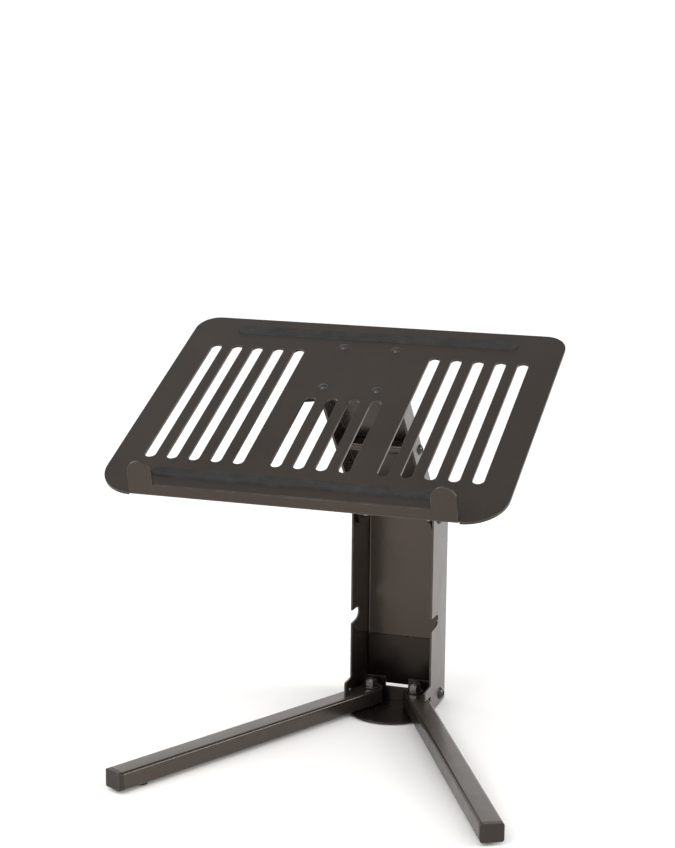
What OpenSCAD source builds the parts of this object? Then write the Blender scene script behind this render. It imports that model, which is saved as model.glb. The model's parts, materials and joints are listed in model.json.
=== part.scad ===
/* [Column] */
// Outside width of the column
col_w = 74; // [62:0.5:92]
// Depth of the column from its front edges to its back
col_d = 50; // [46:0.5:66]
// Thickness of the column sheet
col_t = 1.5; // [1.2:0.1:2.5]
// Height of the upper pivot above the floor
pivot_z = 175; // [150:1:220]
// Distance of the upper pivot behind the column's front edges
pivot_y = 18; // [15:0.5:21]
// Distance the foot tabs reach forward over the legs
tab_reach = 17; // [8:0.5:22]
// Height of the foot tabs
foot_tab_h = 9.2; // [6:0.2:14]
// Height of the round end of the flange slots
slot_z = 82.8; // [60:0.2:120]
// Depth of the flange slots
slot_depth = 20.45; // [16:0.05:24]

/* [Hub] */
// Thickness of the hub plate
hub_t = 1.8; // [1.5:0.1:3]
// Thickness of the hub bracket
bracket_t = 2; // [1.5:0.1:3]
// Height of the bracket's back wall above the floor
bracket_h = 54; // [40:1:80]
// Height of the low middle part of the cross wall
sill_h = 15.3; // [10:0.1:17]
// Height of the open gap under the back wall
back_gap_h = 9.3; // [5:0.1:12]
// Radius of the round rubber pads under the hub
pad_r = 12; // [8:0.5:13]

/* [Legs] */
// Length of a leg from its pivot to its tip
leg_len = 288; // [200:1:360]
// Width of the leg tube
leg_w = 19; // [15:0.5:23]
// Height of the leg tube
leg_h = 15; // [12:0.5:18]
// Wall of the leg tube
leg_wall = 1.5; // [1:0.1:2]
// Angle of each leg from straight ahead
leg_angle = 27.5; // [20:0.5:35]
// Distance of the leg pivots behind the column's front edges
leg_pivot_y = 7.6; // [5:0.1:10]
// Length of the end caps
cap_t = 4.5; // [3:0.5:8]

/* [Arm] */
// Distance between the arm's two pivots
arm_len = 170; // [120:1:220]
// Width of the arm seen from the side
arm_bar = 22; // [18:0.5:24]
// Thickness of the arm sheet
arm_t = 2; // [1.5:0.1:3]
// Forward lean of the arm from upright
arm_lean = 40; // [0:1:75]
// Distance of the cross tie from the lower pivot
tie_at = 92; // [70:1:105]
// Outside diameter of the cross tie
tie_d = 10; // [8:0.5:12]

/* [Tray] */
// Width of the tray
tray_w = 315; // [250:1:400]
// Depth of the tray along its slope
tray_d = 245; // [200:1:300]
// Thickness of the tray sheet
tray_t = 2; // [1.5:0.1:3]
// Slope of the tray, front edge low
tray_tilt = 24; // [0:1:50]
// Radius of the tray's front corners
front_r = 31; // [15:1:45]
// Radius of the tray's rear corners
rear_r = 18; // [8:1:30]
// Height of the lip above the tray's underside
lip_h = 9.6; // [6:0.2:16]
// Height of the front tabs above the tray's underside
tab_h = 28.5; // [22:0.5:40]
// Width of the front tabs
tab_w = 19.5; // [14:0.5:28]
// Angle the lip and tabs lean inward over the tray
lip_lean = 8; // [0:1:15]
// Height of the tray above its pivot
tray_rise = 18.4; // [17:0.2:26]
// Width of the vent slots
vent_w = 9; // [5:0.5:12]
// Spacing of the vent slots
vent_pitch = 18; // [14:0.5:26]

/* [Fasteners] */
// Diameter of the pivot bolts
bolt_d = 6; // [5:0.5:7]
// Diameter of the cross tie's bolts
tie_bolt_d = 5; // [4:0.5:6]
// Play between a bolt and its hole
play = 0.05; // [0.03:0.01:0.08]

/* [Hidden] */
$fn = 64;
eps = 1;
big = 400;
rest_gap = 0.1;
// fasteners
bolt_r = bolt_d / 2;
hole_r = bolt_r + play;
head_r = bolt_d * 0.958;
head_k = bolt_d * 0.583;
socket_d = bolt_d * 0.667;
socket_depth = head_k * 0.55;
nut_af = bolt_d * 1.667;
nut_h = bolt_d * 0.85;
nut_collar_h = bolt_d * 0.22;
nut_all = nut_h + nut_collar_h;
bolt_past = bolt_d * 0.2;
washer_r = bolt_d * 1.333;
tie_bolt_r = tie_bolt_d / 2;
tie_head_r = tie_bolt_d * 0.95;
tie_head_k = tie_bolt_d * 0.58;
// column
col_x = col_w / 2;
col_in = col_x - col_t;
col_bend = 3;
col_z0 = 1.5;
ear_r = pivot_y;
back_in = col_d - col_t;
slot_r = 5.15;
slot_y = slot_depth - slot_r;
slot_mouth_low = slot_z - 5.8;
slot_mouth_high = slot_z + 5.95;
col_notch_half = 25;
col_corner_r = 8;
corner_y = col_d - col_corner_r;
corner_z = pivot_z - col_corner_r;
top_span = sqrt((corner_y - pivot_y) * (corner_y - pivot_y) + col_corner_r * col_corner_r);
top_turn = acos((ear_r - col_corner_r) / top_span) - atan2(col_corner_r, corner_y - pivot_y);
// hub
hub_z0 = 1;
hub_z1 = hub_z0 + hub_t;
hub_r = col_x + 1;
hub_gap = 0.7;
hub_front_y = -1.5;
hub_y = 2;
bracket_gap = 0.3;
bracket_x = col_in - bracket_gap;
bracket_in = bracket_x - bracket_t;
back_wall_y = back_in - bracket_gap - bracket_t;
back_wall_x = col_x - col_bend;
hub_back_y = back_in - bracket_gap - 1;
cheek_h = 20;
cross_y = leg_pivot_y + leg_w / 2 + 4;
cross_h = 24;
sill_half = 10.3;
gap_half = 24;
low_bolt_y = cross_y + bracket_t + 1.66 * bolt_d;
low_bolt_z = 10.1;
rear_pad_x = 0.33 * col_w;
rear_pad_y = hub_back_y - 9;
rear_pad_r = 7;
// legs
leg_z0 = 3;
leg_z1 = leg_z0 + leg_h;
leg_edge = 2.5;
stop_gap = 0.75;
leg_reach = (leg_w / 2 + stop_gap + leg_pivot_y * sin(leg_angle)) / cos(leg_angle);
leg_pivot_x = col_in - leg_reach;
leg_round = leg_w / 2 + 0.6;
tube_len = leg_len - cap_t;
bush_r = bolt_r + 2;
bush_z0 = hub_z1 + rest_gap;
bush_z1 = leg_z1 + rest_gap;
foot_at = leg_len - 28;
foot_r = 5.5;
foot_stem_r = 3;
foot_stem_top = leg_z0 + leg_wall + 1.5;
cap_round = 1.2;
spigot_len = 12;
leg_washer_t = 1.2;
leg_head_r = bolt_d;
leg_head_z = 0.2;
// foot tabs
foot_tab_z0 = leg_z1 + 0.3;
foot_tab_z1 = foot_tab_z0 + foot_tab_h;
foot_tab_round = 2;
// arm
arm_gap = 1.5;
arm_x = col_in - arm_gap;
arm_in = arm_x - arm_t;
arm_r = arm_bar / 2;
arm_bend = 3;
web_from = 20;
tie_y = 2.7;
tie_r = tie_d / 2;
tie_in = arm_in - rest_gap;
// tray
tray_x = tray_w / 2;
pivot_v = tray_d * 0.747;
lip_half = tray_x - front_r;
lip_bend = 2.2;
relief = 0.8;
bend_inset = 0.2;
tab_r = tab_w / 2;
tab_x = lip_half - tab_r;
ear_gap = 1.2;
ear_in = arm_x + ear_gap;
ear_t = 2;
ear_x = ear_in + ear_t;
ear_end_r = 13;
yoke_half = 38;
yoke_bend = 3;
rivet_x = ear_in - 13;
rivet_v = 29;
rivet_head_r = 4;
rivet_head_k = 1.5;
rivet_r = 2;
grip_t = 1.2;
grip_w = 12;
grip_half = tray_x - 38;
grip_front_v = 28;
grip_rear_v = tray_d - 17;
facing_t = 1.2;
facing_r = tab_r - 2;
facing_low = 3;
vent_low = 50;
vent_high = tray_d - 45;
vent_mid_high = pivot_v - yoke_half - 10;
vent_side_n = 5;
vent_side_x = ear_x + 20;

// ---------- placing ----------

module side(len) {
  rotate([90, 0, 90])
    linear_extrude(len)
      children();
}

module on_arm() {
  translate([0, pivot_y, pivot_z])
    rotate([arm_lean, 0, 0])
      children();
}

module on_tray() {
  on_arm()
    translate([0, 0, arm_len])
      rotate([tray_tilt - arm_lean, 0, 0])
        translate([0, -pivot_v, tray_rise])
          children();
}

module both_sides() {
  children();
  mirror([1, 0, 0])
    children();
}

module at_leg(k) {
  translate([k * leg_pivot_x, leg_pivot_y, 0])
    rotate([0, 0, k * leg_angle])
      children();
}

// ---------- shared shapes ----------

module round_rect(w, h, r) {
  translate([-w / 2 + r, -h / 2])
    square([w - 2 * r, h]);
  translate([-w / 2, -h / 2 + r])
    square([w, h - 2 * r]);
  for (sx = [-1, 1], sy = [-1, 1])
    translate([sx * (w / 2 - r), sy * (h / 2 - r)])
      circle(r);
}

module stadium(w, len) {
  translate([-w / 2, 0])
    square([w, len]);
  circle(w / 2);
  translate([0, len])
    circle(w / 2);
}

module ring(outer, inner, h) {
  difference() {
    cylinder(r = outer, h = h);
    translate([0, 0, -eps])
      cylinder(r = inner, h = h + 2 * eps);
  }
}

// dome head at the origin, shank running to -Z
module dome_bolt(r, hr, hk, len) {
  ball_r = (hr * hr + hk * hk) / (2 * hk);
  difference() {
    intersection() {
      translate([0, 0, hk - ball_r])
        sphere(ball_r);
      cylinder(r = hr + eps, h = hk + eps);
    }
    translate([0, 0, hk - socket_depth])
      cylinder(d = r * 1.54, h = socket_depth + eps, $fn = 6);
  }
  translate([0, 0, -len])
    cylinder(r = r, h = len + 0.01);
}

// nut standing on the origin, nylon collar on top
module lock_nut() {
  difference() {
    union() {
      cylinder(r = nut_af / 2 / cos(30), h = nut_h, $fn = 6);
      cylinder(r = nut_af / 2 - 0.4, h = nut_all);
    }
    translate([0, 0, -eps])
      cylinder(r = hole_r, h = nut_all + 2 * eps);
  }
}

// U-shaped sheet: back wall on the +Y side, open to -Y
module channel_2d(half, back, t, bend, front) {
  difference() {
    union() {
      translate([-half, front])
        square([2 * half, back - bend - front]);
      translate([-half + bend, front])
        square([2 * (half - bend), back - front]);
      for (k = [-1, 1])
        translate([k * (half - bend), back - bend])
          circle(bend);
    }
    translate([-half + t, front - eps])
      square([2 * (half - t), back - bend - front + eps]);
    translate([-half + bend, front - eps])
      square([2 * (half - bend), back - t - front + eps]);
    for (k = [-1, 1])
      translate([k * (half - bend), back - bend])
        circle(bend - t);
  }
}

// ---------- hub ----------

module hub_plate() {
  color("#26211e")
    difference() {
      translate([0, 0, hub_z0])
        linear_extrude(hub_t) {
          difference() {
            translate([0, hub_y])
              circle(hub_r);
            translate([-big, hub_front_y])
              square([2 * big, big]);
          }
          translate([-col_in + hub_gap, hub_front_y])
            square([2 * (col_in - hub_gap), hub_back_y - hub_front_y]);
        }
      for (k = [-1, 1])
        translate([k * leg_pivot_x, leg_pivot_y, 0])
          cylinder(r = hole_r, h = hub_z1 + eps);
    }
}

module hub_bracket_wall() {
  difference() {
    translate([-back_wall_x, back_wall_y, hub_z1])
      cube([2 * back_wall_x, bracket_t, bracket_h - hub_z1]);
    translate([-gap_half, back_wall_y - eps, 0])
      cube([2 * gap_half, bracket_t + 2 * eps, back_gap_h]);
  }
}

module hub_bracket_cross() {
  difference() {
    translate([-bracket_x, cross_y, hub_z1])
      cube([2 * bracket_x, bracket_t, cross_h - hub_z1]);
    translate([-sill_half, cross_y - eps, sill_h])
      cube([2 * sill_half, bracket_t + 2 * eps, cross_h]);
  }
}

module hub_bracket() {
  color("#2b2522")
    difference() {
      union() {
        hub_bracket_wall();
        hub_bracket_cross();
        both_sides()
          translate([bracket_in, cross_y, hub_z1])
            cube([bracket_t, back_wall_y - cross_y + bracket_t / 2, cheek_h - hub_z1]);
      }
      translate([-big, low_bolt_y, low_bolt_z])
        rotate([0, 90, 0])
          cylinder(r = hole_r, h = 2 * big);
    }
}

module hub_pads() {
  color("#171717") {
    cylinder(r = pad_r, h = hub_z0);
    for (k = [-1, 1])
      translate([k * rear_pad_x, rear_pad_y, 0])
        cylinder(r = rear_pad_r, h = hub_z0);
  }
}

// ---------- column ----------

module column_side_2d() {
  translate([0, col_z0])
    square([col_d + eps, corner_z - col_z0]);
  translate([0, corner_z - eps])
    square([pivot_y, col_corner_r + eps]);
  translate([corner_y, corner_z])
    circle(col_corner_r);
  polygon([
    [pivot_y - eps, corner_z - eps],
    [corner_y, corner_z - eps],
    [corner_y + col_corner_r * cos(top_turn), corner_z + col_corner_r * sin(top_turn)],
    [pivot_y + ear_r * cos(top_turn), pivot_z + ear_r * sin(top_turn)],
    [pivot_y - eps, pivot_z]
  ]);
  translate([pivot_y, pivot_z])
    circle(ear_r);
  translate([-tab_reach + foot_tab_round, foot_tab_z0])
    square([tab_reach, foot_tab_h]);
  translate([-tab_reach, foot_tab_z0])
    square([tab_reach, foot_tab_h - foot_tab_round]);
  translate([-tab_reach + foot_tab_round, foot_tab_z1 - foot_tab_round])
    circle(foot_tab_round);
}

module slot_2d() {
  translate([slot_y, slot_z])
    circle(slot_r);
  polygon([
    [-eps, slot_mouth_low],
    [slot_y, slot_z - slot_r],
    [slot_y, slot_z + slot_r],
    [-eps, slot_mouth_high]
  ]);
}

module column() {
  color("#312b27")
    difference() {
      intersection() {
        linear_extrude(big)
          channel_2d(col_x, col_d, col_t, col_bend, -tab_reach - eps);
        translate([-col_x - eps, 0, 0])
          side(col_w + 2 * eps)
            column_side_2d();
      }
      translate([-col_x - eps, 0, 0])
        side(col_w + 2 * eps)
          slot_2d();
      translate([-col_notch_half, back_in - eps, 0])
        cube([2 * col_notch_half, col_t + 2 * eps, back_gap_h]);
      for (p = [[low_bolt_y, low_bolt_z], [pivot_y, pivot_z]])
        translate([-big, p[0], p[1]])
          rotate([0, 90, 0])
            cylinder(r = hole_r, h = 2 * big);
    }
}

module column_bolts() {
  bolt_len = col_x - bracket_in + rest_gap + nut_all + bolt_past;
  color("#141211")
    both_sides()
      translate([col_x, low_bolt_y, low_bolt_z])
        rotate([0, 90, 0])
          dome_bolt(bolt_r, head_r, head_k, bolt_len);
}

module column_nuts() {
  color("#2a2a2c")
    both_sides()
      translate([bracket_in - rest_gap, low_bolt_y, low_bolt_z])
        rotate([0, -90, 0])
          lock_nut();
}

// ---------- leg pivots ----------

module leg_pivot_bolts() {
  shank_top = bush_z1 + rest_gap + leg_washer_t + rest_gap + nut_all + bolt_past;
  color("#1c1a19")
    for (k = [-1, 1])
      translate([k * leg_pivot_x, leg_pivot_y, leg_head_z]) {
        cylinder(r = leg_head_r, h = hub_z0 - leg_head_z);
        cylinder(r = bolt_r, h = shank_top - leg_head_z);
      }
}

module leg_pivot_washers() {
  color("#3c3a38")
    for (k = [-1, 1])
      translate([k * leg_pivot_x, leg_pivot_y, bush_z1 + rest_gap])
        ring(washer_r, hole_r, leg_washer_t);
}

module leg_pivot_nuts() {
  color("#2a2a2c")
    for (k = [-1, 1])
      translate([k * leg_pivot_x, leg_pivot_y, bush_z1 + leg_washer_t + 2 * rest_gap])
        lock_nut();
}

// ---------- legs ----------

module leg_bore(from, len) {
  translate([0, -from, leg_z0 + leg_h / 2])
    rotate([90, 0, 0])
      linear_extrude(len)
        round_rect(leg_w - 2 * leg_wall, leg_h - 2 * leg_wall, leg_edge - leg_wall + 0.5);
}

module leg_tube(k) {
  at_leg(k)
    difference() {
      intersection() {
        translate([0, leg_round + eps, leg_z0 + leg_h / 2])
          rotate([90, 0, 0])
            linear_extrude(tube_len + leg_round + eps)
              round_rect(leg_w, leg_h, leg_edge);
        linear_extrude(leg_z1 + eps) {
          circle(leg_round);
          translate([-leg_w, -tube_len - eps])
            square([2 * leg_w, tube_len + eps]);
        }
      }
      leg_bore(-leg_round - eps, tube_len + leg_round + 2 * eps);
      cylinder(r = bush_r + play, h = leg_z1 + eps);
      translate([0, -foot_at, 0])
        cylinder(r = foot_stem_r + play, h = leg_z0 + leg_h / 2);
    }
}

module cap_plan_2d() {
  intersection() {
    union() {
      translate([-leg_w / 2 + cap_round, -leg_len])
        square([leg_w - 2 * cap_round, cap_t]);
      translate([-leg_w / 2, -leg_len + cap_round])
        square([leg_w, cap_t]);
      for (s = [-1, 1])
        translate([s * (leg_w / 2 - cap_round), -leg_len + cap_round])
          circle(cap_round);
    }
    translate([-leg_w / 2, -leg_len])
      square([leg_w, cap_t]);
  }
}

module leg_cap(k) {
  at_leg(k) {
    intersection() {
      translate([0, 0, leg_z0 - eps])
        linear_extrude(leg_h + 2 * eps)
          cap_plan_2d();
      translate([0, eps - tube_len, leg_z0 + leg_h / 2])
        rotate([90, 0, 0])
          linear_extrude(cap_t + 2 * eps)
            round_rect(leg_w, leg_h, leg_edge);
    }
    leg_spigot();
  }
}

module leg_spigot() {
  w = leg_w - 2 * leg_wall - 2 * rest_gap;
  h = leg_h - 2 * leg_wall - 2 * rest_gap;
  translate([0, -tube_len + spigot_len, leg_z0 + leg_h / 2])
    rotate([90, 0, 0])
      linear_extrude(spigot_len + 0.01)
        round_rect(w, h, leg_edge - leg_wall + 0.5);
}

module leg_bush(k) {
  at_leg(k)
    translate([0, 0, bush_z0])
      ring(bush_r, hole_r, bush_z1 - bush_z0);
}

module leg_foot(k) {
  at_leg(k)
    translate([0, -foot_at, 0]) {
      cylinder(r = foot_r, h = leg_z0 - rest_gap / 2);
      cylinder(r = foot_stem_r, h = foot_stem_top);
    }
}

// ---------- arm ----------

module arm_side_2d() {
  translate([-arm_r, 0])
    square([arm_bar, arm_len]);
  circle(arm_r);
  translate([0, arm_len])
    circle(arm_r);
}

module arm() {
  color("#2e2825")
    on_arm()
      difference() {
        intersection() {
          translate([0, 0, -arm_r - eps])
            linear_extrude(arm_len + arm_bar + 2 * eps)
              channel_2d(arm_x, arm_r, arm_t, arm_bend, -arm_r - eps);
          translate([-arm_x - eps, 0, 0])
            side(2 * arm_x + 2 * eps)
              arm_side_2d();
        }
        for (z = [-arm_r - eps, arm_len - web_from])
          translate([-arm_in, -arm_r - eps, z])
            cube([2 * arm_in, arm_bar + 2 * eps, web_from + arm_r + eps]);
        for (z = [0, arm_len])
          translate([-arm_x - eps, 0, z])
            rotate([0, 90, 0])
              cylinder(r = hole_r, h = 2 * arm_x + 2 * eps);
        translate([-arm_x - eps, tie_y, tie_at])
          rotate([0, 90, 0])
            cylinder(r = tie_bolt_r + play, h = 2 * arm_x + 2 * eps);
      }
}

module arm_tie_tube() {
  color("#35302d")
    on_arm()
      translate([-tie_in, tie_y, tie_at])
        rotate([0, 90, 0])
          ring(tie_r, tie_bolt_r + play, 2 * tie_in);
}

module arm_tie_bolts() {
  color("#141211")
    on_arm()
      both_sides()
        translate([arm_x, tie_y, tie_at])
          rotate([0, 90, 0])
            dome_bolt(tie_bolt_r, tie_head_r, tie_head_k, tie_in * 0.55);
}

module arm_pivot_bolts() {
  bolt_len = col_x - arm_in + rest_gap + nut_all + bolt_past;
  color("#141211")
    both_sides()
      translate([col_x, pivot_y, pivot_z])
        rotate([0, 90, 0])
          dome_bolt(bolt_r, head_r, head_k, bolt_len);
}

module arm_friction_washers() {
  color("#1b1b1c")
    both_sides()
      translate([arm_x + rest_gap, pivot_y, pivot_z])
        rotate([0, 90, 0])
          ring(washer_r, hole_r, arm_gap - 2 * rest_gap);
}

module arm_pivot_nuts() {
  color("#2a2a2c")
    both_sides()
      translate([arm_in - rest_gap, pivot_y, pivot_z])
        rotate([0, -90, 0])
          lock_nut();
}

// ---------- tray ----------

module tray_plan_2d() {
  difference() {
    union() {
      translate([-lip_half, lip_bend])
        square([2 * lip_half, front_r - lip_bend + eps]);
      translate([-tray_x, front_r])
        square([tray_w, tray_d - front_r - rear_r]);
      translate([-tray_x + rear_r, tray_d - rear_r - eps])
        square([tray_w - 2 * rear_r, rear_r + eps]);
      for (k = [-1, 1]) {
        translate([k * lip_half, front_r])
          intersection() {
            circle(front_r);
            translate([(k - 1) / 2 * front_r, -front_r])
              square([front_r, front_r + eps]);
          }
        translate([k * (tray_x - rear_r), tray_d - rear_r])
          circle(rear_r);
      }
    }
    for (k = [-1, 1])
      translate([k * (lip_half + relief / 2) - relief / 2, -eps])
        square([relief, lip_bend + 2 * eps]);
    for (i = [0 : vent_side_n - 1], k = [-1, 1])
      translate([k * (vent_side_x + i * vent_pitch), vent_low])
        stadium(vent_w, vent_high - vent_low);
    for (x = [-1.5, -0.5, 0.5, 1.5])
      translate([x * vent_pitch, vent_low])
        stadium(vent_w, vent_mid_high - vent_low);
    for (x = [-rivet_x, rivet_x], v = [pivot_v - rivet_v, pivot_v + rivet_v])
      translate([x, v])
        circle(rivet_r + play);
  }
}

// X across, Y up the lip from the end of its bend, Z through the sheet from the outer face
module on_lip() {
  on_tray()
    translate([0, lip_bend, lip_bend])
      rotate([90 - lip_lean, 0, 0])
        translate([0, 0, lip_bend])
          children();
}

module lip_2d() {
  translate([-lip_half, 0])
    square([2 * lip_half, lip_h - lip_bend]);
  for (k = [-1, 1])
    translate([k * tab_x, 0]) {
      translate([-tab_r, 0])
        square([tab_w, tab_h - tab_r - lip_bend]);
      translate([0, tab_h - tab_r - lip_bend])
        circle(tab_r);
    }
}

module lip_bend_2d() {
  intersection() {
    difference() {
      circle(lip_bend);
      circle(lip_bend - tray_t);
    }
    polygon([
      [0, 0],
      [0, -2 * lip_bend],
      [-2 * lip_bend, -2 * lip_bend],
      [-2 * lip_bend, 0],
      [-2 * lip_bend * cos(lip_lean), 2 * lip_bend * sin(lip_lean)]
    ]);
  }
}

module tray_plate() {
  color("#3a332e") {
    on_tray() {
      linear_extrude(tray_t)
        tray_plan_2d();
      translate([-lip_half + bend_inset, lip_bend, lip_bend])
        side(2 * lip_half - 2 * bend_inset)
          lip_bend_2d();
    }
    on_lip()
      translate([0, 0, -tray_t])
        linear_extrude(tray_t)
          lip_2d();
  }
}

module yoke_side_2d() {
  translate([pivot_v, -tray_rise])
    circle(ear_end_r);
  polygon([
    [pivot_v - yoke_half, eps],
    [pivot_v - yoke_half, -8],
    [pivot_v - ear_end_r * 0.82, -tray_rise - ear_end_r * 0.57],
    [pivot_v + ear_end_r * 0.82, -tray_rise - ear_end_r * 0.57],
    [pivot_v + yoke_half, -8],
    [pivot_v + yoke_half, eps]
  ]);
}

module tray_bracket() {
  color("#2e2825")
    on_tray()
      difference() {
        intersection() {
          translate([0, pivot_v - yoke_half - eps, 0])
            rotate([-90, 0, 0])
              linear_extrude(2 * yoke_half + 2 * eps)
                rotate([0, 0, 180])
                  channel_2d(ear_x, 0, ear_t, yoke_bend, -tray_rise - ear_end_r - eps);
          translate([-ear_x - eps, 0, 0])
            side(2 * ear_x + 2 * eps)
              yoke_side_2d();
        }
        translate([-ear_x - eps, pivot_v, -tray_rise])
          rotate([0, 90, 0])
            cylinder(r = hole_r, h = 2 * ear_x + 2 * eps);
        for (x = [-rivet_x, rivet_x], v = [pivot_v - rivet_v, pivot_v + rivet_v])
          translate([x, v, -ear_t - eps])
            cylinder(r = rivet_r + play, h = ear_t + 2 * eps);
      }
}

module tray_rivets() {
  ball_r = (rivet_head_r * rivet_head_r + rivet_head_k * rivet_head_k) / (2 * rivet_head_k);
  color("#1d1a18")
    on_tray()
      for (x = [-rivet_x, rivet_x], v = [pivot_v - rivet_v, pivot_v + rivet_v])
        translate([x, v, 0]) {
          intersection() {
            translate([0, 0, tray_t + rivet_head_k - ball_r])
              sphere(ball_r);
            translate([0, 0, tray_t])
              cylinder(r = rivet_head_r + eps, h = rivet_head_k + eps);
          }
          translate([0, 0, -ear_t - 1])
            cylinder(r = rivet_r, h = tray_t + ear_t + 1.01);
          translate([0, 0, -ear_t - 1])
            cylinder(r = rivet_head_r * 0.85, h = 1);
        }
}

module tray_pivot_bolts() {
  bolt_len = ear_x - arm_in + rest_gap + nut_all + bolt_past;
  color("#141211")
    on_tray()
      both_sides()
        translate([ear_x, pivot_v, -tray_rise])
          rotate([0, 90, 0])
            dome_bolt(bolt_r, head_r, head_k, bolt_len);
}

module tray_friction_washers() {
  color("#1b1b1c")
    on_tray()
      both_sides()
        translate([arm_x + rest_gap, pivot_v, -tray_rise])
          rotate([0, 90, 0])
            ring(washer_r, hole_r, ear_gap - 2 * rest_gap);
}

module tray_pivot_nuts() {
  color("#2a2a2c")
    on_tray()
      both_sides()
        translate([arm_in - rest_gap, pivot_v, -tray_rise])
          rotate([0, -90, 0])
            lock_nut();
}

module tray_grip_pads() {
  color("#151515")
    on_tray()
      for (v = [grip_front_v, grip_rear_v])
        translate([grip_half - grip_w / 2, v, tray_t])
          rotate([0, 0, 90])
            linear_extrude(grip_t)
              stadium(grip_w, 2 * grip_half - grip_w);
}

module tray_tab_pads() {
  color("#151515")
    on_lip()
      for (k = [-1, 1])
        translate([k * tab_x, 0, -tray_t - facing_t])
          linear_extrude(facing_t) {
            translate([0, tab_h - tab_r - lip_bend])
              circle(facing_r);
            translate([-facing_r, facing_low])
              square([2 * facing_r, tab_h - tab_r - lip_bend - facing_low]);
          }
}

// ---------- parts ----------

hub_plate();
hub_bracket();
hub_pads();
column();
column_bolts();
column_nuts();
leg_pivot_bolts();
leg_pivot_washers();
leg_pivot_nuts();
color("#3b3430") leg_tube(-1);  // left_leg_tube
color("#211d1b") leg_cap(-1);  // left_leg_cap
color("#5a5652") leg_bush(-1);  // left_leg_bush
color("#171717") leg_foot(-1);  // left_leg_foot
color("#3b3430") leg_tube(1);  // right_leg_tube
color("#211d1b") leg_cap(1);  // right_leg_cap
color("#5a5652") leg_bush(1);  // right_leg_bush
color("#171717") leg_foot(1);  // right_leg_foot
arm();
arm_tie_tube();
arm_tie_bolts();
arm_pivot_bolts();
arm_friction_washers();
arm_pivot_nuts();
tray_plate();
tray_bracket();
tray_rivets();
tray_pivot_bolts();
tray_friction_washers();
tray_pivot_nuts();
tray_grip_pads();
tray_tab_pads();
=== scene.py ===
import json
import math

import bmesh
import bpy
from mathutils import Matrix, Vector


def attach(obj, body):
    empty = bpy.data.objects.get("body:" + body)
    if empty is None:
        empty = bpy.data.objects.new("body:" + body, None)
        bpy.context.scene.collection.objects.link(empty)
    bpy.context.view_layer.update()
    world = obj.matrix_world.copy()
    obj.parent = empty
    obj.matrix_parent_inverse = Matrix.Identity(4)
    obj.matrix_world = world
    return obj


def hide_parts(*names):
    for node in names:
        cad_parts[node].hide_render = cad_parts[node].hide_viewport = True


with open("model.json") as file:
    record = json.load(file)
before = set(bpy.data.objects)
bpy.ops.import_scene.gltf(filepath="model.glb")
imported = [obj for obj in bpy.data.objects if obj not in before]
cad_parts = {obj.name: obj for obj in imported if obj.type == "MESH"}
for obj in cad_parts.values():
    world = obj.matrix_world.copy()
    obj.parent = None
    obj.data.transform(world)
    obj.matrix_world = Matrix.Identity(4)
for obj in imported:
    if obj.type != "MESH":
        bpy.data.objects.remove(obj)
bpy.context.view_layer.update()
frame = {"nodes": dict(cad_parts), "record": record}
nodes = frame["nodes"]


# ---------- shader helpers ----------

def tree(name):
    mat = bpy.data.materials.new(name)
    mat.use_nodes = True
    nt = mat.node_tree
    return mat, nt, nt.nodes["Principled BSDF"]


def add(nt, kind, **values):
    node = nt.nodes.new(kind)
    for key, value in values.items():
        setattr(node, key, value)
    return node


def noise(nt, coord, scale, detail=2.0, rough=0.5):
    n = add(nt, "ShaderNodeTexNoise")
    n.inputs["Scale"].default_value = scale
    n.inputs["Detail"].default_value = detail
    n.inputs["Roughness"].default_value = rough
    nt.links.new(coord, n.inputs["Vector"])
    return n.outputs["Fac"]


def ramp(nt, fac, stops):
    """Blend between two (position, colour) stops."""
    r = add(nt, "ShaderNodeValToRGB")
    for element, (pos, col) in zip(r.color_ramp.elements, stops):
        element.position, element.color = pos, (*col, 1)
    nt.links.new(fac, r.inputs["Fac"])
    return r.outputs["Color"]


def remap(nt, fac, from_a, from_b, to_a, to_b):
    m = add(nt, "ShaderNodeMapRange")
    for i, v in enumerate((from_a, from_b, to_a, to_b), 1):
        m.inputs[i].default_value = v
    nt.links.new(fac, m.inputs[0])
    return m.outputs[0]


def math_node(nt, op, a, b):
    m = add(nt, "ShaderNodeMath", operation=op)
    for i, v in enumerate((a, b)):
        if isinstance(v, (int, float)):
            m.inputs[i].default_value = v
        else:
            nt.links.new(v, m.inputs[i])
    return m.outputs[0]


def mix(nt, fac, a, b):
    m = add(nt, "ShaderNodeMix", data_type="RGBA")
    nt.links.new(fac, m.inputs[0])
    for i, v in ((6, a), (7, b)):
        if isinstance(v, tuple):
            m.inputs[i].default_value = (*v, 1)
        else:
            nt.links.new(v, m.inputs[i])
    return m.outputs[2]


def bump(nt, height, distance, strength):
    b = add(nt, "ShaderNodeBump")
    b.inputs["Distance"].default_value = distance
    b.inputs["Strength"].default_value = strength
    nt.links.new(height, b.inputs["Height"])
    return b.outputs["Normal"]


def edge_mask(nt, radius):
    """1 where an outer edge turns sharply within the radius, 0 on flats and in inner corners."""
    rounded = add(nt, "ShaderNodeBevel", samples=6)
    rounded.inputs["Radius"].default_value = radius
    geo = add(nt, "ShaderNodeNewGeometry")
    dot = add(nt, "ShaderNodeVectorMath", operation="DOT_PRODUCT")
    nt.links.new(rounded.outputs["Normal"], dot.inputs[0])
    nt.links.new(geo.outputs["Normal"], dot.inputs[1])
    turned = remap(nt, dot.outputs["Value"], 0.995, 0.86, 0.0, 1.0)
    shade = add(nt, "ShaderNodeAmbientOcclusion", samples=4, only_local=True)
    shade.inputs["Distance"].default_value = radius * 2
    return math_node(nt, "MULTIPLY", turned, remap(nt, shade.outputs["AO"], 0.78, 0.97, 0.0, 1.0))


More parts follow.
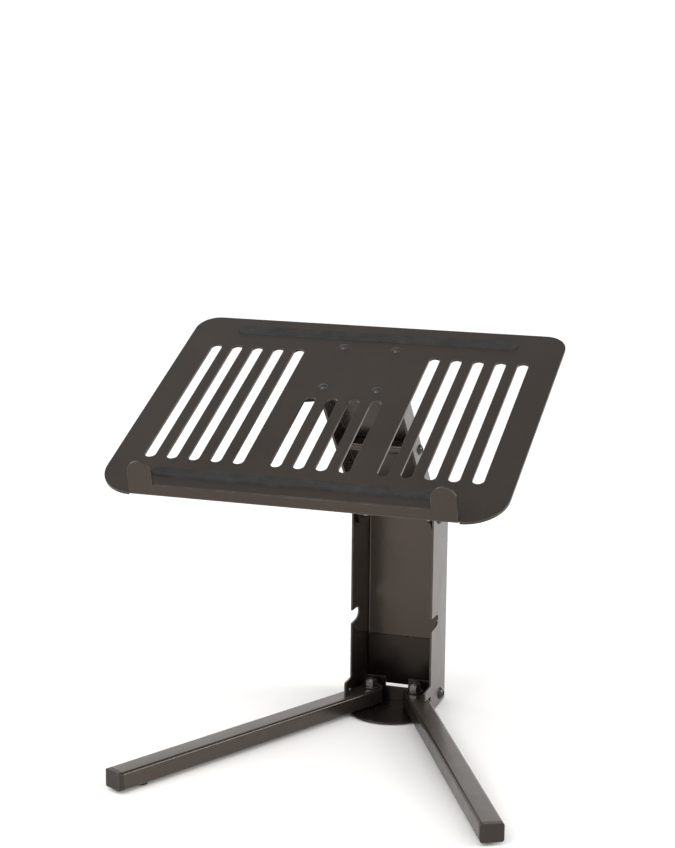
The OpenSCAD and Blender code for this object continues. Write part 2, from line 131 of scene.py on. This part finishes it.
def recess_shade_and_dull_mask(nt, depth, low, high):
    """1 deep inside folds and corners, 0 in the open: there the colour gets painted shade, and the
    roughness rises where powder coats thinly and dust settles.
    """
    shade = add(nt, "ShaderNodeAmbientOcclusion", samples=6, only_local=True)
    shade.inputs["Distance"].default_value = depth
    return remap(nt, shade.outputs["AO"], low, high, 1.0, 0.0)


# ---------- materials ----------

COAT_TINT = (1.0, 0.83, 0.715, 1)
PLASTIC_TINT = (1.0, 0.87, 0.78, 1)
CORNER_ROUGH = 0.62


def powder_coat(name, dark, light, rough, grain, worn=(0.17, 0.155, 0.145), shine=0.72):
    mat, nt, bsdf = tree(name)
    xyz = add(nt, "ShaderNodeTexCoord").outputs["Object"]
    cloud = noise(nt, xyz, 11, 4, 0.55)
    fine = noise(nt, xyz, 420, 3, 0.6)
    peel = noise(nt, xyz, 950, 2, 0.5)
    pits = add(nt, "ShaderNodeTexVoronoi")
    pits.inputs["Scale"].default_value = 1500
    nt.links.new(xyz, pits.inputs["Vector"])
    base = ramp(nt, cloud, [(0.3, dark), (0.7, light)])
    speck = remap(nt, fine, 0.35, 0.75, 0.0, 0.22)
    base = mix(nt, speck, base, tuple(min(1, c * 1.9) for c in light))
    patchy = remap(nt, noise(nt, xyz, 60, 5, 0.7), 0.45, 0.66, 0.02, 0.5)
    wear = math_node(nt, "MULTIPLY", edge_mask(nt, 0.0011), patchy)
    corner_shade_and_dull = recess_shade_and_dull_mask(nt, 0.006, 0.3, 0.62)
    # painted shade: the colour is darkened deep in folds and corners
    base = mix(nt, corner_shade_and_dull, base, tuple(c * 0.6 for c in dark))
    nt.links.new(mix(nt, wear, base, worn), bsdf.inputs["Base Color"])
    smudge = noise(nt, xyz, 26, 5, 0.65)
    gloss = remap(nt, smudge, 0.3, 0.7, rough[0], rough[1])
    dull = math_node(nt, "MULTIPLY", corner_shade_and_dull, CORNER_ROUGH)
    nt.links.new(math_node(nt, "MAXIMUM", gloss, dull), bsdf.inputs["Roughness"])
    height = math_node(nt, "ADD", peel, math_node(nt, "MULTIPLY", pits.outputs["Distance"], 0.5))
    nt.links.new(bump(nt, height, 0.00022, grain), bsdf.inputs["Normal"])
    bsdf.inputs["Specular IOR Level"].default_value = shine
    bsdf.inputs["Specular Tint"].default_value = COAT_TINT
    return mat


def satin_metal(name, dark, light, rough, metallic=0.0, worn=(0.3, 0.29, 0.28)):
    mat, nt, bsdf = tree(name)
    xyz = add(nt, "ShaderNodeTexCoord").outputs["Object"]
    base = ramp(nt, noise(nt, xyz, 90, 4, 0.6), [(0.3, dark), (0.7, light)])
    patchy = remap(nt, noise(nt, xyz, 240, 4, 0.7), 0.4, 0.65, 0.1, 0.9)
    wear = math_node(nt, "MULTIPLY", edge_mask(nt, 0.0006), patchy)
    nt.links.new(mix(nt, wear, base, worn), bsdf.inputs["Base Color"])
    gloss = remap(nt, noise(nt, xyz, 300, 3, 0.6), 0.3, 0.7, rough[0], rough[1])
    nt.links.new(gloss, bsdf.inputs["Roughness"])
    nt.links.new(bump(nt, noise(nt, xyz, 1200, 2, 0.5), 0.0001, 0.12), bsdf.inputs["Normal"])
    bsdf.inputs["Metallic"].default_value = metallic
    return mat


def rubber(name, dark, light):
    mat, nt, bsdf = tree(name)
    xyz = add(nt, "ShaderNodeTexCoord").outputs["Object"]
    base = ramp(nt, noise(nt, xyz, 55, 5, 0.65), [(0.3, dark), (0.72, light)])
    nt.links.new(base, bsdf.inputs["Base Color"])
    gloss = remap(nt, noise(nt, xyz, 120, 4, 0.6), 0.3, 0.7, 0.68, 0.9)
    nt.links.new(gloss, bsdf.inputs["Roughness"])
    grain = noise(nt, xyz, 1900, 3, 0.7)
    nt.links.new(bump(nt, grain, 0.00018, 0.35), bsdf.inputs["Normal"])
    bsdf.inputs["Specular IOR Level"].default_value = 0.35
    return mat


def plastic(name, dark, light, rough):
    mat, nt, bsdf = tree(name)
    xyz = add(nt, "ShaderNodeTexCoord").outputs["Object"]
    base = ramp(nt, noise(nt, xyz, 40, 4, 0.6), [(0.3, dark), (0.7, light)])
    rubbed = mix(nt, edge_mask(nt, 0.0009), base, tuple(c * 2.2 for c in light))
    nt.links.new(rubbed, bsdf.inputs["Base Color"])
    gloss = remap(nt, noise(nt, xyz, 210, 3, 0.6), 0.3, 0.7, rough[0], rough[1])
    nt.links.new(gloss, bsdf.inputs["Roughness"])
    nt.links.new(bump(nt, noise(nt, xyz, 1400, 2, 0.6), 0.00015, 0.3), bsdf.inputs["Normal"])
    bsdf.inputs["Specular IOR Level"].default_value = 0.42
    bsdf.inputs["Specular Tint"].default_value = PLASTIC_TINT
    return mat


COAT = powder_coat("powder_coat", (0.0115, 0.0088, 0.0074), (0.018, 0.0142, 0.012),
                   rough=(0.2, 0.28), grain=0.07)
TRAY_COAT = powder_coat("powder_coat_tray", (0.0105, 0.0082, 0.007), (0.0165, 0.0132, 0.0112),
                        rough=(0.27, 0.37), grain=0.12, shine=0.5)
LEG_COAT = powder_coat("powder_coat_leg", (0.013, 0.0105, 0.009), (0.021, 0.0168, 0.014),
                       rough=(0.22, 0.31), grain=0.08, shine=0.62)
# painted shade: the hub gets a darker copy of the same powder coat, for the shade it sits in under
# the tray
SHADED_HUB_COAT = powder_coat("powder_coat_hub_painted_shade", (0.004, 0.0032, 0.0028), (0.007, 0.0057, 0.005),
                       rough=(0.24, 0.34), grain=0.1, worn=(0.05, 0.046, 0.042), shine=0.42)
BOLT = satin_metal("black_bolt", (0.006, 0.0055, 0.0055), (0.012, 0.011, 0.0105),
                   rough=(0.07, 0.12), worn=(0.12, 0.115, 0.11))
NUT = satin_metal("black_zinc", (0.12, 0.115, 0.11), (0.2, 0.19, 0.18),
                  rough=(0.12, 0.2), metallic=0.9, worn=(0.4, 0.39, 0.37))
ZINC = satin_metal("dark_zinc", (0.055, 0.055, 0.056), (0.1, 0.1, 0.1),
                   rough=(0.28, 0.42), metallic=0.8)
RUBBER = rubber("rubber", (0.012, 0.012, 0.012), (0.024, 0.023, 0.022))
CAP = plastic("cap_plastic", (0.011, 0.0088, 0.0078), (0.017, 0.0138, 0.0122),
              rough=(0.36, 0.48))
NYLON = plastic("nylon", (0.03, 0.03, 0.032), (0.05, 0.05, 0.053), rough=(0.5, 0.62))


def give(obj, mat):
    obj.data.materials.clear()
    obj.data.materials.append(mat)


# ---------- bevelled shells over the CAD shapes ----------

BODY_OF = {n: body for body, names in frame["record"]["behaviour"]["bodies"].items() for n in names}
WELD = 2e-6
SLIVER = 4e-6
FLAT_ANGLE = math.radians(0.6)
SHARP_ANGLE = math.radians(32)
BEVEL_SEGMENTS = 2


def shell(node, mat, width):
    """A copy of a CAD node with welded faces and edges softened by a width in millimetres."""
    mesh = nodes[node].data.copy()
    mesh.name = node + "_shell"
    bm = bmesh.new()
    bm.from_mesh(mesh)
    bmesh.ops.remove_doubles(bm, verts=bm.verts, dist=WELD)
    bmesh.ops.dissolve_degenerate(bm, dist=SLIVER, edges=bm.edges)
    bmesh.ops.dissolve_limit(bm, angle_limit=FLAT_ANGLE, verts=bm.verts, edges=bm.edges)
    bm.to_mesh(mesh)
    bm.free()
    if mesh.has_custom_normals:
        mesh.attributes.remove(mesh.attributes["custom_normal"])
    obj = bpy.data.objects.new(node + "_shell", mesh)
    bpy.context.scene.collection.objects.link(obj)
    give(obj, mat)
    mesh.shade_smooth()
    mesh.set_sharp_from_angle(angle=SHARP_ANGLE)
    mod = obj.modifiers.new("soft_edges", "BEVEL")
    mod.width = width / 1000
    mod.segments = BEVEL_SEGMENTS
    mod.limit_method = "ANGLE"
    mod.angle_limit = SHARP_ANGLE
    mod.harden_normals = True
    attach(obj, BODY_OF[node])
    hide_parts(node)


# node: (material, width of the softened edges in mm)
SHELLS = {
    # the hub parts wear the painted-shade copy of the coat
    "hub_plate": (SHADED_HUB_COAT, 0.7), "hub_bracket": (SHADED_HUB_COAT, 0.4),
    "column": (COAT, 0.35), "arm": (COAT, 0.45), "arm_tie_tube": (COAT, 0.3),
    "tray_plate": (TRAY_COAT, 0.45), "tray_bracket": (COAT, 0.45),
    "left_leg_tube": (LEG_COAT, 0.3), "right_leg_tube": (LEG_COAT, 0.3),
    "left_leg_cap": (CAP, 0.2), "right_leg_cap": (CAP, 0.2),
    "leg_pivot_washers": (BOLT, 0.2), "leg_pivot_nuts": (NUT, 0.35), "column_nuts": (NUT, 0.35),
    "arm_pivot_nuts": (NUT, 0.35), "tray_pivot_nuts": (NUT, 0.35),
    "column_bolts": (BOLT, 0.2), "arm_pivot_bolts": (BOLT, 0.2), "arm_tie_bolts": (BOLT, 0.2),
    "tray_pivot_bolts": (BOLT, 0.2), "leg_pivot_bolts": (BOLT, 0.2), "tray_rivets": (BOLT, 0.15),
    "left_leg_bush": (ZINC, 0.2), "right_leg_bush": (ZINC, 0.2),
    "arm_friction_washers": (NYLON, 0.2), "tray_friction_washers": (NYLON, 0.2),
    "hub_pads": (RUBBER, 0.25), "left_leg_foot": (RUBBER, 0.5), "right_leg_foot": (RUBBER, 0.5),
    "tray_tab_pads": (RUBBER, 0.3),
}
for node, (mat, width) in SHELLS.items():
    shell(node, mat, width)


# ---------- ribbed rubber strips on the tray ----------

def new_object(name, bm, mat, body, node, sharp):
    mesh = bpy.data.meshes.new(name)
    bm.normal_update()
    bm.to_mesh(mesh)
    bm.free()
    obj = bpy.data.objects.new(name, mesh)
    bpy.context.scene.collection.objects.link(obj)
    give(obj, mat)
    mesh.shade_smooth()
    mesh.set_sharp_from_angle(angle=math.radians(sharp))
    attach(obj, body)
    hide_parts(node)


# the tray's own directions at rest: up its slope, and out of its face
TRAY_TILT = math.radians(24)
SLOPE = Vector((0, math.cos(TRAY_TILT), math.sin(TRAY_TILT)))
OUT = Vector((0, -math.sin(TRAY_TILT), math.cos(TRAY_TILT)))

RIBS = 5
RIB_STEPS = 6
LENGTH_STEPS = 60
END_STEPS = 14
VALLEY, RIDGE = 0.62, 0.38
SIDE_FALL = 0.0012
END_SCALE = 0.03
END_DROP = 2.2


def ribbed_strip(bm, centre, half, width, crest):
    """A moulded rubber strip with rounded ends, its top pressed into long ribs."""
    rail = []
    for i in range(RIBS * RIB_STEPS + 1):
        t = i / (RIBS * RIB_STEPS)
        across = (t - 0.5) * width
        wave = 0.5 - 0.5 * math.cos(2 * math.pi * RIBS * t)
        edge = min(1.0, min(t, 1 - t) * width / SIDE_FALL)
        rail.append((across, crest * (VALLEY * edge + RIDGE * wave * edge)))
    rail = [(-width / 2, 0.0)] + rail + [(width / 2, 0.0)]
    rings = []
    xs = [-half + 2 * half * i / LENGTH_STEPS for i in range(LENGTH_STEPS + 1)]
    turns = [math.pi / 2 * j / END_STEPS for j in range(1, END_STEPS + 1)]
    shrink = [(math.sin(a), math.cos(a)) for a in turns]
    path = [(-half - s * width / 2, c) for s, c in reversed(shrink)] + [(x, 1.0) for x in xs]
    path += [(half + s * width / 2, c) for s, c in shrink]
    for x, c in path:
        c = max(c, END_SCALE)
        here = centre + Vector((x, 0, 0))
        rings.append([bm.verts.new(here + SLOPE * (a * c) + OUT * (h * min(1.0, c * END_DROP)))
                      for a, h in rail])
    for one, two in zip(rings, rings[1:]):
        for i in range(len(one) - 1):
            bm.faces.new((one[i], two[i], two[i + 1], one[i + 1]))
        bm.faces.new((one[-1], two[-1], two[0], one[0]))
    bm.faces.new(rings[0])
    bm.faces.new(list(reversed(rings[-1])))


def grip_pads():
    src = nodes["tray_grip_pads"].data
    pts = [v.co for v in src.vertices]
    along = [(p.dot(SLOPE), p) for p in pts]
    mid = (min(a for a, p in along) + max(a for a, p in along)) / 2
    bm = bmesh.new()
    for side in (-1, 1):
        mine = [p for a, p in along if (a - mid) * side > 0]
        s0, s1 = min(p.dot(SLOPE) for p in mine), max(p.dot(SLOPE) for p in mine)
        h0, h1 = min(p.dot(OUT) for p in mine), max(p.dot(OUT) for p in mine)
        x1 = max(p.x for p in mine)
        width = s1 - s0
        centre = SLOPE * ((s0 + s1) / 2) + OUT * h0
        ribbed_strip(bm, centre, x1 - width / 2, width, h1 - h0)
    bmesh.ops.recalc_face_normals(bm, faces=bm.faces)
    new_object("tray_grip_strips", bm, RUBBER, "tray", node="tray_grip_pads",
               sharp=50)


grip_pads()


# ---------- floor, light, camera ----------

def area(name, where, target, size, power, color):
    data = bpy.data.lights.new(name, "AREA")
    data.shape, data.size, data.size_y = "RECTANGLE", size[0], size[1]
    data.energy, data.color = power, color
    obj = bpy.data.objects.new(name, data)
    bpy.context.scene.collection.objects.link(obj)
    obj.location = where
    obj.rotation_mode = "QUATERNION"
    obj.rotation_quaternion = (Vector(target) - Vector(where)).to_track_quat("-Z", "Y")


mat, nt, bsdf = tree("floor")
xyz = add(nt, "ShaderNodeTexCoord").outputs["Object"]
pale = ramp(nt, noise(nt, xyz, 3, 2), [(0.3, (0.93, 0.928, 0.92)), (0.7, (0.945, 0.943, 0.936))])
nt.links.new(pale, bsdf.inputs["Base Color"])
bsdf.inputs["Roughness"].default_value = 0.7
bsdf.inputs["Specular IOR Level"].default_value = 0.2
bm = bmesh.new()
bmesh.ops.create_grid(bm, x_segments=1, y_segments=1, size=8)
floor_mesh = bpy.data.meshes.new("floor")
bm.to_mesh(floor_mesh)
bm.free()
floor = bpy.data.objects.new("floor", floor_mesh)
bpy.context.scene.collection.objects.link(floor)
give(floor, mat)

# a white studio, dimmer high behind the object and above 8 degrees on its left
world = bpy.data.worlds.new("studio")
world.use_nodes = True
wt = world.node_tree
heading = add(wt, "ShaderNodeSeparateXYZ")
wt.links.new(add(wt, "ShaderNodeTexCoord").outputs["Generated"], heading.inputs[0])
to_left = remap(wt, heading.outputs["X"], -0.9, -0.45, 0.65, 0.0)
dim_left = math_node(wt, "MULTIPLY", to_left, remap(wt, heading.outputs["Z"], 0.14, 0.24, 0.0, 1.0))
to_back = remap(wt, heading.outputs["Y"], 0.15, 0.3, 0.0, 0.7)
dim_back = math_node(wt, "MULTIPLY", to_back, remap(wt, heading.outputs["Z"], 0.5, 0.6, 0.0, 1.0))
dim = math_node(wt, "MAXIMUM", dim_left, dim_back)
studio = mix(wt, dim, (1.0, 0.992, 0.982), (0.0, 0.0, 0.0))
wt.links.new(studio, wt.nodes["Background"].inputs["Color"])
wt.nodes["Background"].inputs["Strength"].default_value = 1.42
bpy.context.scene.world = world
bpy.context.scene.view_settings.view_transform = "Standard"

area("key", (-0.7, -1.5, 2.2), (0, -0.1, 0.15), (1.6, 1.6), 14, (1.0, 0.975, 0.94))
area("side", (2.2, 0.5, 0.9), (0, 0, 0.15), (0.7, 0.8), 18, (1.0, 0.98, 0.96))
area("front", (-0.45, -1.6, 0.95), (0, 0, 0.05), (0.3, 0.5), 5, (1.0, 0.98, 0.95))

# camera fitted to the photo: pixels of its longer side, place in metres, angles in radians
FRAME_PX = 848
FOCAL_PX = 1916.55
SHIFT_PX = -1.448
SENSOR = 36
WHERE = (0.45174, -1.53939, 0.59271)
yaw, pitch, roll = 0.31484, 0.20556, 0.00932

right = Vector((math.cos(yaw), math.sin(yaw), 0))
back = Vector((math.sin(yaw) * math.cos(pitch), -math.cos(yaw) * math.cos(pitch), math.sin(pitch)))
up = back.cross(right)
r = right * math.cos(roll) + up * math.sin(roll)
u = up * math.cos(roll) - right * math.sin(roll)
cam_data = bpy.data.cameras.new("camera")
cam_data.sensor_width = SENSOR
cam_data.lens = FOCAL_PX / FRAME_PX * SENSOR
cam_data.shift_x = SHIFT_PX / FRAME_PX
cam = bpy.data.objects.new("camera", cam_data)
bpy.context.scene.collection.objects.link(cam)
rows = [(r[i], u[i], back[i], WHERE[i]) for i in range(3)]
cam.matrix_world = Matrix((*rows, (0, 0, 0, 1)))
bpy.context.scene.camera = cam
